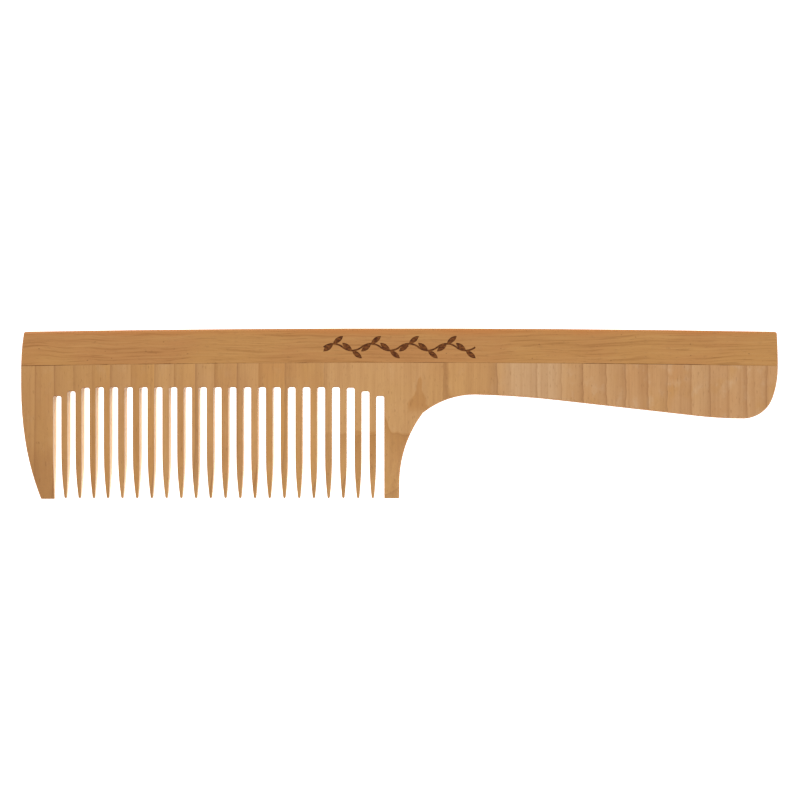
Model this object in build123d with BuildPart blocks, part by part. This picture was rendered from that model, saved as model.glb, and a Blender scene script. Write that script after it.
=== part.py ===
from build123d import *
from build123d import topo_explore_connected_faces
import os

# Wooden handle comb: a long-grain spine strip glued to a cross-grain tooth board.
#
# Frame: the comb lies on its back face. +X runs along the comb to the end of the handle, +Y from the
# tooth tips to the spine, +Z out of the front face. The origin is under the middle of the comb's box.
# All sizes are in millimetres.

# Driving dimensions
length = 200.0
height = 45.2
thickness = 6.0
crown_rise = 0.88  # how far the spine's edge stands above its two ends at mid-length
joint_y = 13.47  # the glue joint at mid-length; it bows with the spine
film = 0.15  # thickness of the glue film
tongue_width = 2.0
tongue_height = 2.2
tongue_inset = 12.0  # the tongue stops this far from both ends of the comb
outer_round = 0.65  # sanded edges of the spine, the handle and the free end
tooth_round = 0.3  # sanded edges of the neck, guards and teeth
corner_round = 0.7  # the spine's two corners, in plan

slot_count = 23
slot_pitch = 3.905
end_pitch = 3.74  # the slots nearest the free end are a little closer together
end_pitch_count = 4
slot_width = 2.1
slot_top_y = 7.02
end_slot_drops = (2.35, 1.1, 0.15)  # the outermost slots stop short, at both ends of the row
slot_corner = 0.5
last_slot_x = -5.1  # centre of the slot beside the neck

taper_start_y = -7.0  # the faces start to curve in towards the tips here
tip_thickness = 1.4
flank_start_y = -11.5  # the teeth start to narrow here
tip_width = 0.75
tip_y = -22.4

mark_depth = 0.15  # a burnt-in ornament: a waving stem with leaves
mark_y = 17.6
mark_line = 0.45
wave_length = 10.0
wave_height = 0.9
wave_count = 4
leaf_length = 3.3
leaf_width = 1.3
leaf_angle = 38.0

# Derived places
left, right = -length / 2, length / 2
top, bottom = height / 2, -height / 2
end_top = top - crown_rise
first_even_x = last_slot_x - slot_pitch * (slot_count - 1 - end_pitch_count)
slot_xs = [first_even_x - end_pitch * i for i in range(end_pitch_count, 0, -1)]
slot_xs += [first_even_x + slot_pitch * i for i in range(slot_count - end_pitch_count)]


def slot_top(i):
    """Height at which slot i stops, counted from the comb's free end."""
    from_end = min(i, slot_count - 1 - i)
    return slot_top_y - (end_slot_drops[from_end] if from_end < len(end_slot_drops) else 0.0)


def joint_arc(offset):
    """The glue joint's bowed line, moved up by offset and run past both ends of the comb."""
    overrun = 1.02
    drop = crown_rise * overrun**2
    y = joint_y + offset
    return ThreePointArc((overrun * left, y - drop), (0, y), (overrun * right, y - drop))


def zone_below(offset):
    """Closed wire round everything below the joint line moved up by offset."""
    line = joint_arc(offset)
    Polyline(line @ 0, ((line @ 0).X, bottom - 1), ((line @ 1).X, bottom - 1), line @ 1)


def comb_outline():
    """The whole comb's outline as a closed wire, without the slots."""
    crown = ThreePointArc((left + 0.8, end_top), (0, top), (right - 0.3, end_top))
    TangentArc((right, 12.2), crown @ 1, tangent=(0, 1))
    heel = TangentArc((right, 12.2), (98.6, 4.2), tangent=(0, -1))
    butt = TangentArc(heel @ 1, (91.0, -1.3), tangent=heel % 1)
    belly = TangentArc(butt @ 1, (78.0, -0.5), tangent=(-1, 0))
    underside = Line(belly @ 1, (42.0, 3.55))
    arch = TangentArc(underside @ 1, (20.0, 5.05), tangent=underside % 1)
    shoulder = TangentArc(arch @ 1, (6.2, 0.2), tangent=(-1, 0))
    neck = TangentArc((0, -18.4), shoulder @ 1, tangent=(0, 1))
    toe = Line(neck @ 0, (0, bottom + 0.15))
    tips = Line(toe @ 1, (left + 4.9, bottom))
    cheek = TangentArc((left, 7.2), tips @ 1, tangent=(0, -1))
    flat = Line(cheek @ 0, (left, 11.9))
    TangentArc(flat @ 1, crown @ 0, tangent=(0, 1))


def slot_side(x, tooth_x):
    """One side of a slot from its straight part to below the tips, returning its lowest point.

    tooth_x is the middle of the tooth on that side, or None beside a guard, which stays straight.
    """
    if tooth_x is None:
        Line((x, flank_start_y), (x, bottom - 1))
        return (x, bottom - 1)
    half_tip = tip_width / 2 if tooth_x < x else -tip_width / 2
    flank = TangentArc((x, flank_start_y), (tooth_x + half_tip, tip_y + tip_width / 2), tangent=(0, -1))
    TangentArc(flank @ 1, (tooth_x, tip_y), tangent=flank % 1)
    Line((tooth_x, tip_y), (tooth_x, bottom - 1))
    return (tooth_x, bottom - 1)


def slot_outline(i):
    """Closed wire round slot i and the halves of its two teeth's tips."""
    x0 = slot_xs[i] - slot_width / 2
    x1 = slot_xs[i] + slot_width / 2
    y = slot_top(i)
    FilletPolyline((x0, flank_start_y), (x0, y), (x1, y), (x1, flank_start_y), radius=slot_corner)
    foot0 = slot_side(x0, (slot_xs[i - 1] + slot_xs[i]) / 2 if i > 0 else None)
    foot1 = slot_side(x1, (slot_xs[i] + slot_xs[i + 1]) / 2 if i < slot_count - 1 else None)
    Line(foot0, foot1)


def is_sharp(part, edge):
    """Whether the two faces beside an edge meet at an angle."""
    one, other = (Face(face) for face in topo_explore_connected_faces(edge, part))
    return one.normal_at(edge.center()).dot(other.normal_at(edge.center())) < 0.9


def sharp_rims(part):
    """The sharp edges that run round the front and back faces, and not through the thickness."""
    return part.edges().filter_by(Axis.Z, reverse=True).filter_by(lambda edge: is_sharp(part, edge))


# The glued blank, cut and shaped in one piece: outline, slots, tapered tooth zone, sanded edges
with BuildPart() as blank:
    with BuildSketch() as profile:
        with BuildLine():
            comb_outline()
        make_face()
        fillet(profile.vertices().sort_by(Axis.Y)[-2:], radius=corner_round)
        for i in range(slot_count):
            with BuildLine():
                slot_outline(i)
            make_face(mode=Mode.SUBTRACT)
    extrude(amount=thickness)
    with BuildSketch(Plane.YZ) as taper:
        drop = (thickness - tip_thickness) / 2
        with BuildLine():
            curve = TangentArc((taper_start_y, thickness), (bottom, thickness - drop), tangent=(-1, 0))
            Polyline(curve @ 1, (bottom - 1, thickness - drop), (bottom - 1, thickness + 1),
                     (taper_start_y, thickness + 1), curve @ 0)
        make_face()
        mirror(about=Plane.XZ.offset(-thickness / 2))
    extrude(amount=length, both=True, mode=Mode.SUBTRACT)
    outer = sharp_rims(blank.part).filter_by(
        lambda edge: edge.center().Y > 20 or edge.center().X > -1 or edge.center().X < left + 5
    )
    fillet(outer, radius=outer_round)
    fine = sharp_rims(blank.part).filter_by(
        lambda edge: edge.center().Y < 20 and left + 5 < edge.center().X < 0
    )
    fillet(fine, radius=tooth_round)

# Everything below the joint, with the hidden tongue that stands up into the spine
with BuildPart() as board_zone:
    with BuildSketch(Plane.XY.offset(-1)):
        with BuildLine():
            zone_below(0)
        make_face()
    extrude(amount=thickness + 2)
    with BuildSketch(Plane.XY.offset((thickness - tongue_width) / 2)):
        with BuildLine():
            zone_below(tongue_height)
        make_face()
        Rectangle(length - 2 * tongue_inset, 2 * height, mode=Mode.INTERSECT)
    extrude(amount=tongue_width)

# The same shape grown by one film thickness, for the glue to fill
with BuildPart() as glue_zone:
    with BuildSketch(Plane.XY.offset(-1)):
        with BuildLine():
            zone_below(film)
        make_face()
    extrude(amount=thickness + 2)
    with BuildSketch(Plane.XY.offset((thickness - tongue_width) / 2 - film)):
        with BuildLine():
            zone_below(tongue_height + film)
        make_face()
        Rectangle(length - 2 * tongue_inset + 2 * film, 2 * height, mode=Mode.INTERSECT)
    extrude(amount=tongue_width + 2 * film)

# One leaf, growing to the right from the origin
with BuildSketch() as leaf:
    with BuildLine():
        ThreePointArc((0, 0), (leaf_length / 2, leaf_width / 2), (leaf_length, 0))
        ThreePointArc((leaf_length, 0), (leaf_length / 2, -leaf_width / 2), (0, 0))
    make_face()

with BuildPart() as tooth_board:
    add(blank.part)
    add(board_zone.part, mode=Mode.INTERSECT)
tooth_board.part.label = "tooth_board"

with BuildPart() as glue_line:
    add(blank.part)
    add(glue_zone.part, mode=Mode.INTERSECT)
    add(board_zone.part, mode=Mode.SUBTRACT)
glue_line.part.label = "glue_line"

with BuildPart() as spine_strip:
    add(blank.part)
    add(glue_zone.part, mode=Mode.SUBTRACT)
    with BuildSketch(Plane.XY.offset(thickness)):
        with BuildLine():
            for i in range(2 * wave_count):
                x = wave_length * (i - wave_count) / 2
                crest = (x + wave_length / 4, mark_y + wave_height * (-1) ** i)
                ThreePointArc((x, mark_y), crest, (x + wave_length / 2, mark_y))
        trace(line_width=mark_line)
        for i in range(2 * wave_count):
            side = (-1) ** i
            x = wave_length * (i - wave_count + 0.5) / 2
            with Locations(Location((x, mark_y + side * wave_height), (0, 0, side * leaf_angle))):
                add(leaf.sketch)
            with Locations(Location((x, mark_y + side * wave_height), (0, 0, 180 + side * leaf_angle))):
                add(leaf.sketch)
    extrude(amount=-mark_depth, mode=Mode.SUBTRACT)
spine_strip.part.label = "spine_strip"

os.makedirs("parts", exist_ok=True)
export_step(tooth_board.part, "parts/tooth_board.step")
export_step(glue_line.part, "parts/glue_line.step")
export_step(spine_strip.part, "parts/spine_strip.step")
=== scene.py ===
"""Looks of the wooden handle comb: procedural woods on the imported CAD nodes, floor, light and camera.

The materials work in millimetres in the row frame: X along the comb to the end of the handle, Y from
the tooth tips to the spine, Z out of the front face.
"""

import bpy
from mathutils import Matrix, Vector


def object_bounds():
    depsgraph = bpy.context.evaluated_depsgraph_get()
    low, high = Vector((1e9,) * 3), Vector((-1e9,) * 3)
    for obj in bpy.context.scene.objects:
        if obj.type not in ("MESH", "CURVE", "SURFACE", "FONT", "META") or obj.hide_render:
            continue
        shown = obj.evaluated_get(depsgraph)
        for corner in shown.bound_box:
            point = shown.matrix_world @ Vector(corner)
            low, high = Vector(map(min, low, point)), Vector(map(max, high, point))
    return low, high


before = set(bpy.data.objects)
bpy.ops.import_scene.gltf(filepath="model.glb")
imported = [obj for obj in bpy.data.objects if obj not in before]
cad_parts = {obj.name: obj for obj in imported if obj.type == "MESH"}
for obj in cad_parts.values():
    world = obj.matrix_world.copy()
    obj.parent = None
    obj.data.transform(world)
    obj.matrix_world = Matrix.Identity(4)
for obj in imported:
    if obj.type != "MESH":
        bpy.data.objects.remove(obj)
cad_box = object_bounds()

MM = 0.001
low, high = cad_box
length_mm = (high[0] - low[0]) / MM
face_mm = high[2] / MM  # height of the front face above the table
top_mm = high[1] / MM  # the spine's edge at mid-length

MARK_Y = 17.6  # middle line of the burnt ornament
MARK_HALF_HEIGHT = 3.9
MARK_HALF_LENGTH = 24.0


# ---------------------------------------------------------------- shader helpers


def linear(red, green, blue):
    """A colour given in 0-255 display values, as the linear RGBA the shader takes."""
    channels = []
    for value in (red, green, blue):
        c = value / 255
        channels.append(c / 12.92 if c <= 0.04045 else ((c + 0.055) / 1.055) ** 2.4)
    return (*channels, 1.0)


class Graph:
    """A material's node tree, with one short call per kind of node."""

    def __init__(self, name):
        self.material = bpy.data.materials.new(name)
        self.material.use_nodes = True
        self.tree = self.material.node_tree
        self.tree.nodes.clear()
        self.output = self.tree.nodes.new("ShaderNodeOutputMaterial")
        self.shader = self.tree.nodes.new("ShaderNodeBsdfPrincipled")
        self.link(self.shader.outputs["BSDF"], self.output.inputs["Surface"])

    def link(self, source, socket):
        self.tree.links.new(source, socket)

    def put(self, value, socket):
        """Link a socket's value, or set a constant on it."""
        if isinstance(value, bpy.types.NodeSocket):
            self.link(value, socket)
        else:
            socket.default_value = value

    def node(self, kind, **settings):
        made = self.tree.nodes.new(kind)
        for key, value in settings.items():
            setattr(made, key, value)
        return made

    def math(self, operation, a, b=0.0):
        made = self.node("ShaderNodeMath", operation=operation)
        self.put(a, made.inputs[0])
        self.put(b, made.inputs[1])
        return made.outputs[0]

    def add(self, a, b):
        return self.math("ADD", a, b)

    def times(self, a, b):
        return self.math("MULTIPLY", a, b)

    def size_of(self, a):
        return self.math("ABSOLUTE", a)

    def swing(self, noise, reach):
        """A noise value turned into an offset of about plus or minus half of reach."""
        return self.times(self.add(noise, -0.5), reach)

    def combine(self, x, y, z):
        made = self.node("ShaderNodeCombineXYZ")
        for value, socket in zip((x, y, z), made.inputs):
            self.put(value, socket)
        return made.outputs[0]

    def split(self, vector):
        made = self.node("ShaderNodeSeparateXYZ")
        self.put(vector, made.inputs[0])
        return made.outputs[0], made.outputs[1], made.outputs[2]

    def noise(self, x, y, z, detail=2.0, roughness=0.5):
        """Noise over a point whose coordinates are already in periods of the noise, about 0 to 1."""
        made = self.node("ShaderNodeTexNoise", noise_dimensions="3D")
        self.put(self.combine(x, y, z), made.inputs["Vector"])
        made.inputs["Scale"].default_value = 1.0
        made.inputs["Detail"].default_value = detail
        made.inputs["Roughness"].default_value = roughness
        return made.outputs[0]

    def grain(self, point, per_mm, detail=2.0, roughness=0.5):
        """Noise with its own number of periods per millimetre along each axis."""
        scaled = [self.times(value, rate) for value, rate in zip(point, per_mm)]
        return self.noise(*scaled, detail=detail, roughness=roughness)

    def random(self, value):
        """One random number for each whole value."""
        made = self.node("ShaderNodeTexWhiteNoise", noise_dimensions="1D")
        self.put(self.math("FLOOR", value), made.inputs["W"])
        return made.outputs[0]

    def step(self, value, start, stop, low_value=0.0, high_value=1.0):
        """Smooth step from low_value at start to high_value at stop."""
        made = self.node("ShaderNodeMapRange", interpolation_type="SMOOTHSTEP")
        for item, socket in zip((value, start, stop, low_value, high_value), made.inputs):
            self.put(item, socket)
        return made.outputs[0]

    def ramp(self, value, *stops):
        """Grey ramp through (position, level) stops."""
        made = self.node("ShaderNodeValToRGB")
        elements = made.color_ramp.elements
        while len(elements) < len(stops):
            elements.new(0.5)
        for element, (position, level) in zip(elements, stops):
            element.position = position
            element.color = (level, level, level, 1.0)
        self.put(value, made.inputs[0])
        return made.outputs[0]

    def mix(self, factor, a, b):
        made = self.node("ShaderNodeMix", data_type="RGBA")
        self.put(factor, made.inputs["Factor"])
        self.put(a, made.inputs[6])
        self.put(b, made.inputs[7])
        return made.outputs[2]

    def stain(self, base, mask, strength, colour):
        """Lay a colour over the base where the mask is 1, at the given strength."""
        return self.mix(self.times(mask, strength), base, colour)

    def point_mm(self):
        """Where the shaded point is in the row frame, in millimetres."""
        where = self.node("ShaderNodeTexCoord").outputs["Object"]
        scaled = self.node("ShaderNodeVectorMath", operation="SCALE")
        self.put(where, scaled.inputs[0])
        scaled.inputs["Scale"].default_value = 1 / MM
        return self.split(scaled.outputs[0])

    def normal(self):
        """The surface's direction in the row frame."""
        return self.split(self.node("ShaderNodeTexCoord").outputs["Normal"])

    def side(self):
        """1 on the upright walls, 0 on the faces."""
        return self.step(self.size_of(self.normal()[2]), 0.35, 0.08)

    def highlight_and_wear_edges(self):
        """1 on the sanded round edges, 0 on the faces and on the walls; the warm tone painted there is
        partly burnish and partly painted highlight.
        """
        tilt = self.size_of(self.normal()[2])
        return self.times(self.step(tilt, 0.94, 0.72), self.step(tilt, 0.05, 0.35))

    def finish(self, colour, roughness, height, depth_mm):
        self.put(colour, self.shader.inputs["Base Color"])
        self.put(roughness, self.shader.inputs["Roughness"])
        bump = self.node("ShaderNodeBump")
        bump.inputs["Strength"].default_value = 1.0
        bump.inputs["Distance"].default_value = depth_mm * MM
        self.put(height, bump.inputs["Height"])
        self.link(bump.outputs[0], self.shader.inputs["Normal"])
        self.shader.inputs["IOR"].default_value = 1.46
        self.shader.inputs["Specular IOR Level"].default_value = 0.27
        return self.material


# ---------------------------------------------------------------- tooth board


def flame_mask(g, x, y):
    """A dark flame in the board above the neck: pointed at its top, wider towards the neck's edge."""
    tip_y, tip_x, reach = 10.4, 5.5, 8.5
    down = g.math("MAXIMUM", g.times(g.add(g.times(y, -1.0), tip_y), 1 / reach), 0.0)
    waver = g.noise(g.times(x, 0.12), g.times(y, 0.42), 5.0, detail=1.0)
    half_width = g.add(g.times(g.math("POWER", down, 1.5), 2.3), 0.25)
    half_width = g.add(half_width, g.swing(waver, g.times(down, 3.0)))
    middle = g.add(g.times(down, -0.7), tip_x)
    aside = g.size_of(g.math("SUBTRACT", x, middle))
    inside = g.step(g.math("DIVIDE", aside, half_width), 1.25, 0.75)
    return g.times(inside, g.times(g.step(y, -0.8, 2.6), g.step(y, tip_y, tip_y - 1.5)))


def board_rings(g, x, y, z):
    """Growth rings about a pith line along Y below the neck, seen on the faces as upright bands.

    Returns each ring's own tone, how dark its late wood is, and the masks of the figure at the neck:
    the dark flame, the plain wood above the innermost ring's arch, and the shade just below that arch.
    """
    pith_x, pith_depth, rings_per_mm = 3.0, 34.0, 0.2174
    wander = g.noise(g.times(x, 0.03), g.times(y, 0.012), 0.0)
    ripple = g.grain((x, y, z), (0.30, 0.30, 0.1))
    across = g.add(g.add(x, -pith_x), g.add(g.swing(wander, 2.6), g.swing(ripple, 0.35)))

    # beside the neck the innermost ring shows only as an arch, with a peak beside the last slot
    arch_side = g.times(g.step(x, -19.0, -13.0), g.step(x, 12.0, 9.5))
    peak = g.step(g.size_of(g.add(x, 4.1)), 2.4, 0.2, 0.0, -3.9)
    arch_y = g.add(g.add(y, peak), g.times(g.add(g.add(wander, ripple), -1.0), 3.0))
    lift = g.times(arch_side, g.step(arch_y, -6.8, -4.4, -1.6, 2.5))
    flame = flame_mask(g, x, y)
    below = g.add(g.add(z, pith_depth), g.add(g.times(y, 0.02), lift))
    below = g.add(below, g.add(g.swing(ripple, 0.6), g.times(flame, -2.6)))

    # the rings nearest the pith are a little narrower, and all are slightly uneven
    radius = g.math("SQRT", g.add(g.times(across, across), g.times(below, below)))
    uneven = g.noise(g.times(radius, 0.12), 3.7, 0.0, detail=1.0)
    rings = g.add(g.times(radius, rings_per_mm), g.add(g.times(uneven, 0.8), 0.35))
    rings = g.add(rings, g.step(radius, 51.0, 46.0, 0.0, 0.3))
    late = g.ramp(
        g.math("FRACT", rings), (0.0, 0.0), (0.4, 0.08), (0.82, 0.30), (0.93, 0.58), (0.97, 1.0), (1.0, 0.0)
    )
    line_strength = g.random(g.add(rings, 71.0))
    late = g.times(late, g.add(g.times(line_strength, 0.7), 0.3))

    quiet = g.times(g.times(g.step(x, -21.0, -18.0), g.step(x, 9.0, 6.0)), g.step(arch_y, -5.3, -4.5))
    late = g.times(late, g.add(g.times(quiet, -0.9), 1.0))
    arch_shade = g.times(arch_side, g.times(g.step(arch_y, -13.0, -6.0), g.step(arch_y, -4.6, -5.3)))
    return g.random(rings), late, flame, quiet, arch_shade


def board_wood():
    """Flat-sawn board with its grain along Y."""
    g = Graph("board_wood")
    x, y, z = point = g.point_mm()
    ring_tone, late, flame, quiet, arch_shade = board_rings(g, x, y, z)

    # fibres, pores and short ray flecks, all drawn out along the grain
    fibre = g.grain(point, (3.2, 0.09, 3.2), detail=3.0, roughness=0.6)
    streak = g.grain(point, (0.9, 0.035, 0.9))
    pores = g.step(g.grain(point, (9.0, 0.45, 9.0)), 0.62, 0.74)
    flecks = g.step(g.grain(point, (2.2, 0.6, 1.5), detail=0.0), 0.74, 0.8)
    cloud = g.grain(point, (0.05, 0.05, 0.05), detail=3.0, roughness=0.55)
    patch = g.noise(g.add(g.times(x, 0.11), 9.0), g.times(y, 0.09), 4.0)
    figure = g.noise(g.times(x, 0.30), g.times(y, 0.20), 7.0, detail=3.0, roughness=0.6)

    # the handle is paler and pinker than the head, most of all beside the neck
    handle = g.step(x, 18.0, 60.0)
    base = g.mix(handle, linear(204, 151, 88), linear(204, 156, 107))
    base = g.stain(base, g.step(cloud, 0.38, 0.66), 0.5, linear(196, 137, 80))
    base = g.stain(base, g.step(patch, 0.55, 0.72), 0.45, linear(196, 142, 72))
    pale_stretch = g.times(g.step(x, 23.0, 31.0), g.step(x, 46.0, 40.0))
    base = g.stain(base, pale_stretch, 0.8, linear(213, 173, 130))
    base = g.stain(base, ring_tone, 0.46, linear(211, 166, 116))
    base = g.stain(base, g.step(x, -52.0, -90.0), 0.4, linear(186, 138, 88))
    figure_strength = g.add(g.times(handle, 0.42), 0.15)
    base = g.stain(base, g.step(figure, 0.5, 0.75), figure_strength, linear(214, 175, 134))

    # late wood, the figure at the neck, and the darker foot of the free end's guard
    base = g.stain(base, late, 0.78, linear(148, 98, 58))
    base = g.stain(base, quiet, 0.22, linear(213, 169, 119))
    base = g.stain(base, flame, 0.50, linear(182, 122, 58))
    base = g.stain(base, arch_shade, 0.38, linear(176, 120, 62))
    guard_foot = g.times(g.step(x, -88.0, -93.0), g.step(y, -6.0, -14.0))
    base = g.stain(base, guard_foot, 0.35, linear(166, 114, 66))

    base = g.stain(base, g.step(streak, 0.42, 0.7), 0.22, linear(164, 112, 66))
    base = g.stain(base, g.step(fibre, 0.35, 0.75), 0.20, linear(165, 114, 68))
    base = g.stain(base, pores, 0.18, linear(120, 76, 42))
    base = g.stain(base, flecks, 0.30, linear(140, 92, 52))

    # painted light: the walls between the teeth are painted pale for the glow of the bright floor below
    # them, partly also as raw sawn wood; end grain is darker; the rounded edges get a warm tone, partly
    # burnish and partly painted highlight
    facing_x, facing_y, _ = g.normal()
    tooth_row = g.times(g.step(x, -93.0, -92.0), g.step(x, -1.0, -1.5))
    wall = g.times(g.step(g.size_of(facing_x), 0.6, 0.95), tooth_row)
    # painted light: a pale tone on the walls between the teeth stands in for the floor's glow on them
    base = g.stain(base, wall, 0.85, linear(255, 236, 208))
    end_grain = g.step(g.size_of(facing_y), 0.55, 0.95)
    base = g.stain(base, end_grain, g.step(x, -2.0, 2.0, 0.15, 0.35), linear(150, 98, 56))
    # painted shade: the upright walls are darkened, less so between the teeth, to offset the extra light
    # the floor gives them
    base = g.stain(base, g.side(), g.add(g.times(wall, -0.4), 0.4), linear(150, 108, 72))
    # painted highlight on the rounded edges, together with burnish: a warm tone whose strength follows the
    # cloud
    highlight_and_wear = g.times(g.highlight_and_wear_edges(), g.add(g.times(cloud, 0.5), 0.5))
    base = g.stain(base, highlight_and_wear, 0.5, linear(206, 138, 76))

    rough = g.add(0.46, g.swing(fibre, 0.18))
    rough = g.add(rough, g.add(g.times(pores, 0.12), g.times(highlight_and_wear, -0.10)))
    rough = g.add(rough, g.times(wall, 0.2))
    height = g.add(g.times(fibre, 0.5), g.add(g.times(pores, -0.8), g.times(late, 0.35)))
    return g.finish(base, rough, height, 0.03)


# ---------------------------------------------------------------- spine strip


def spine_rings(g, x, y, z):
    """Rings that run the length of the strip and sway towards the free end.

    Returns the height across the grain, as bent by the rings, and how dark the late wood is.
    """
    wander = g.grain((x, y, z), (0.022, 0.04, 0.05))
    sway = g.noise(g.times(x, 0.07), 2.0, 0.0, detail=1.0)
    sway = g.times(g.add(sway, -0.5), g.step(x, -40.0, -75.0, 1.0, 2.5))
    across = g.add(g.add(y, g.times(x, -0.006)), g.add(g.swing(wander, 4.0), sway))
    depth = g.add(z, 16.0)
    radius = g.math("SQRT", g.add(g.times(across, across), g.times(depth, depth)))
    rings = g.add(g.times(radius, 0.78), g.times(g.noise(g.times(radius, 0.4), 1.3, 0.0), 1.2))
    late = g.ramp(g.math("FRACT", rings), (0.0, 0.0), (0.5, 0.2), (0.85, 0.7), (0.95, 1.0), (1.0, 0.1))
    broken = g.grain((x, across, z), (0.07, 0.8, 0.8))
    return across, g.times(late, g.times(g.random(rings), g.step(broken, 0.38, 0.6)))


def burnt_mask(g, x, y, z):
    """1 on the ornament, which lies below the face and well inside the rounded edges."""
    sunk = g.step(z, face_mm - 0.02, face_mm - 0.06)
    in_height = g.step(g.size_of(g.add(y, -MARK_Y)), MARK_HALF_HEIGHT, MARK_HALF_HEIGHT - 0.1)
    in_length = g.step(g.size_of(x), MARK_HALF_LENGTH, MARK_HALF_LENGTH - 0.1)
    near_face = g.step(z, face_mm - 1.0, face_mm - 0.8)
    return g.times(sunk, g.times(g.times(in_height, near_face), in_length))


def spine_wood():
    """Spine strip, grain along X: fine lengthwise streaks, with the ornament burnt into its face."""
    g = Graph("spine_wood")
    x, y, z = point = g.point_mm()
    across, late = spine_rings(g, x, y, z)
    bent = (x, across, z)

    streak = g.grain(bent, (0.055, 1.9, 1.9), roughness=0.55)
    dash = g.step(streak, 0.56, 0.66)
    hair = g.step(g.grain(bent, (0.11, 3.4, 3.4), detail=1.0), 0.62, 0.70)
    fibre = g.grain(bent, (0.12, 5.0, 5.0), detail=3.0, roughness=0.6)
    pores = g.step(g.grain(bent, (0.5, 9.0, 9.0)), 0.62, 0.74)
    specks = g.step(g.grain(point, (1.1, 1.6, 1.0), detail=0.0), 0.81, 0.85)
    cloud = g.grain(point, (0.045, 0.09, 0.1), detail=3.0)

    base = g.mix(g.step(cloud, 0.34, 0.68), linear(195, 142, 82), linear(191, 134, 79))
    base = g.stain(base, g.step(streak, 0.5, 0.3), 0.4, linear(205, 155, 95))
    base = g.stain(base, late, 0.55, linear(158, 105, 55))
    base = g.stain(base, dash, 0.42, linear(158, 105, 54))
    base = g.stain(base, hair, 0.40, linear(146, 94, 46))
    base = g.stain(base, g.step(fibre, 0.35, 0.75), 0.20, linear(160, 108, 58))
    base = g.stain(base, pores, 0.20, linear(118, 74, 36))
    base = g.stain(base, specks, 0.5, linear(110, 66, 34))

    # end grain, rounded edges with a warm tone that is partly burnish and partly painted highlight, a
    # painted highlight band under the spine's edge, and painted shade on the walls
    end_grain = g.step(g.size_of(g.normal()[0]), 0.55, 0.95)
    base = g.stain(base, end_grain, 0.35, linear(148, 96, 54))
    # painted highlight on the rounded edges, together with burnish
    highlight_and_wear = g.times(g.highlight_and_wear_edges(), g.add(g.times(cloud, 0.5), 0.5))
    base = g.stain(base, highlight_and_wear, 0.65, linear(206, 128, 62))
    # painted highlight: a warm band just under the spine's top edge, where its rounding catches the light
    edge_highlight_band = g.step(y, top_mm - 2.4, top_mm - 0.6)
    base = g.stain(base, edge_highlight_band, g.step(cloud, 0.3, 0.6, 0.25, 0.6), linear(200, 126, 64))
    # painted shade: the upright walls are darkened to offset the extra light the floor gives them
    base = g.stain(base, g.side(), 0.45, linear(150, 108, 72))

    burnt = burnt_mask(g, x, y, z)
    char_tone = g.noise(g.times(x, 1.2), g.times(y, 2.2), 0.0, detail=3.0)
    char = g.mix(g.step(char_tone, 0.35, 0.7), linear(84, 40, 8), linear(132, 76, 28))
    base = g.mix(burnt, base, char)

    rough = g.add(0.45, g.swing(fibre, 0.18))
    rough = g.add(rough, g.add(g.times(pores, 0.12), g.times(highlight_and_wear, -0.10)))
    rough = g.add(rough, g.times(burnt, 0.28))
    height = g.add(g.times(fibre, 0.5), g.add(g.times(pores, -0.8), g.times(late, 0.3)))
    height = g.add(height, g.times(burnt, g.times(char_tone, 1.5)))
    return g.finish(base, rough, height, 0.03)


# ---------------------------------------------------------------- glue and floor


def glue():
    """Sanded glue film: a thin line whose darkness comes and goes along the comb."""
    g = Graph("glue")
    point = g.point_mm()
    along = g.grain(point, (0.06, 0.3, 0.3), detail=4.0, roughness=0.65)
    grit = g.grain(point, (2.5, 2.5, 2.5))
    base = g.mix(g.step(along, 0.48, 0.60), linear(176, 126, 74), linear(104, 62, 28))
    base = g.stain(base, g.step(grit, 0.4, 0.7), 0.3, linear(98, 58, 28))
    # painted highlight on the glue line's rounded edges, together with burnish
    base = g.stain(base, g.highlight_and_wear_edges(), 0.3, linear(190, 126, 70))
    rough = g.add(0.38, g.times(grit, 0.2))
    return g.finish(base, rough, g.add(along, grit), 0.02)


def table_white():
    """Plain pale floor with a faint matt tooth, which gives a little light like a light table."""
    g = Graph("table_white")
    x, y, _ = g.point_mm()
    tooth = g.noise(g.times(x, 0.8), g.times(y, 0.8), 0.0, detail=3.0)
    cloud = g.noise(g.times(x, 0.01), g.times(y, 0.01), 0.0)
    base = g.mix(cloud, (0.60, 0.60, 0.60, 1.0), (0.56, 0.56, 0.56, 1.0))
    material = g.finish(base, g.add(0.75, g.times(tooth, 0.1)), tooth, 0.02)
    g.shader.inputs["Emission Color"].default_value = (1.0, 1.0, 1.0, 1.0)
    g.shader.inputs["Emission Strength"].default_value = 1.4
    return material


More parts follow.
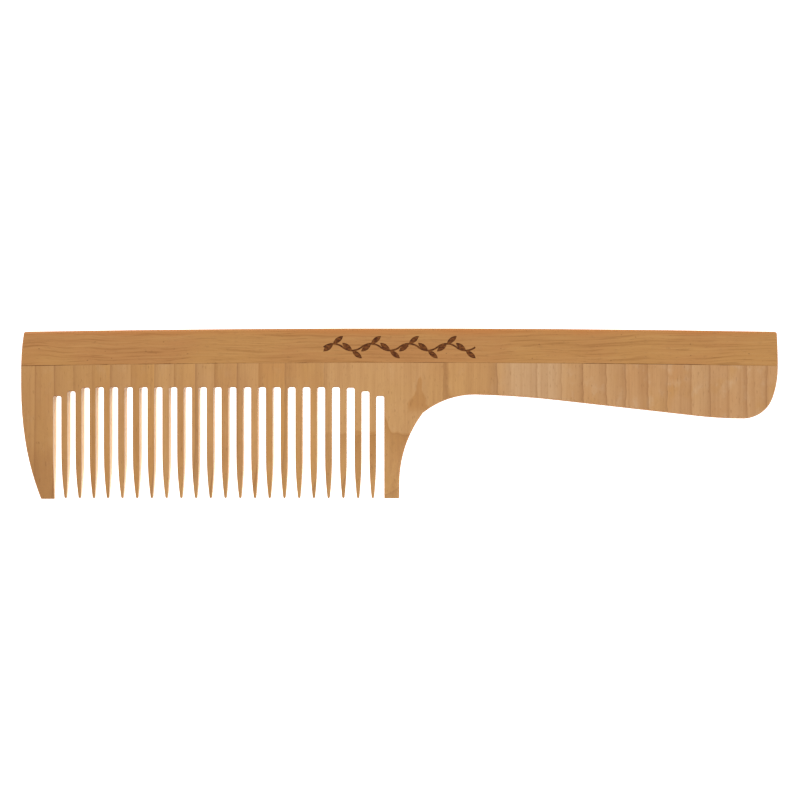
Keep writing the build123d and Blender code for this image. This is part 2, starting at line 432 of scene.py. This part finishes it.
# ---------------------------------------------------------------- scene


def dress_nodes():
    for node_name, make in (("tooth_board", board_wood), ("spine_strip", spine_wood), ("glue_line", glue)):
        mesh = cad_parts[node_name].data
        mesh.materials.clear()
        mesh.materials.append(make())


def make_floor():
    half, gap = 6.0, 0.05 * MM
    mesh = bpy.data.meshes.new("floor")
    corners = [(-half, -half, 0), (half, -half, 0), (half, half, 0), (-half, half, 0)]
    mesh.from_pydata(corners, [], [(0, 1, 2, 3)])
    floor = bpy.data.objects.new("floor", mesh)
    floor.location.z = low[2] - gap
    bpy.context.scene.collection.objects.link(floor)
    mesh.materials.append(table_white())


def area_light(name, place, size, power):
    """Round soft light that points at the comb."""
    light = bpy.data.lights.new(name, "AREA")
    light.shape = "DISK"
    light.size = size
    light.energy = power
    lamp = bpy.data.objects.new(name, light)
    lamp.location = place
    lamp.rotation_euler = (-Vector(place)).to_track_quat("-Z", "Y").to_euler()
    bpy.context.scene.collection.objects.link(lamp)


def make_world(strength):
    world = bpy.data.worlds.new("studio")
    world.use_nodes = True
    background = world.node_tree.nodes["Background"]
    background.inputs["Color"].default_value = (1.0, 1.0, 1.0, 1.0)
    background.inputs["Strength"].default_value = strength
    bpy.context.scene.world = world


def make_camera():
    """Straight down on the front face, the spine up, with the comb across about 95% of the view."""
    distance = 0.545
    view_width = length_mm * MM * 1.0555
    aside, above = 0.14 * MM, 3.66 * MM
    data = bpy.data.cameras.new("camera")
    data.sensor_width = 36.0
    data.lens = data.sensor_width * distance / view_width
    data.clip_start = 0.01
    camera = bpy.data.objects.new("camera", data)
    middle = (Vector(low) + Vector(high)) / 2
    camera.location = (middle.x + aside, middle.y + above, high[2] + distance)
    bpy.context.scene.collection.objects.link(camera)
    bpy.context.scene.camera = camera


dress_nodes()
make_floor()
make_world(0.44)
area_light("key", (-0.45, 0.75, 0.85), size=0.55, power=6.4)
area_light("fill", (0.6, -0.5, 0.8), size=0.7, power=4.2)
make_camera()
bpy.context.scene.view_settings.view_transform = "Standard"
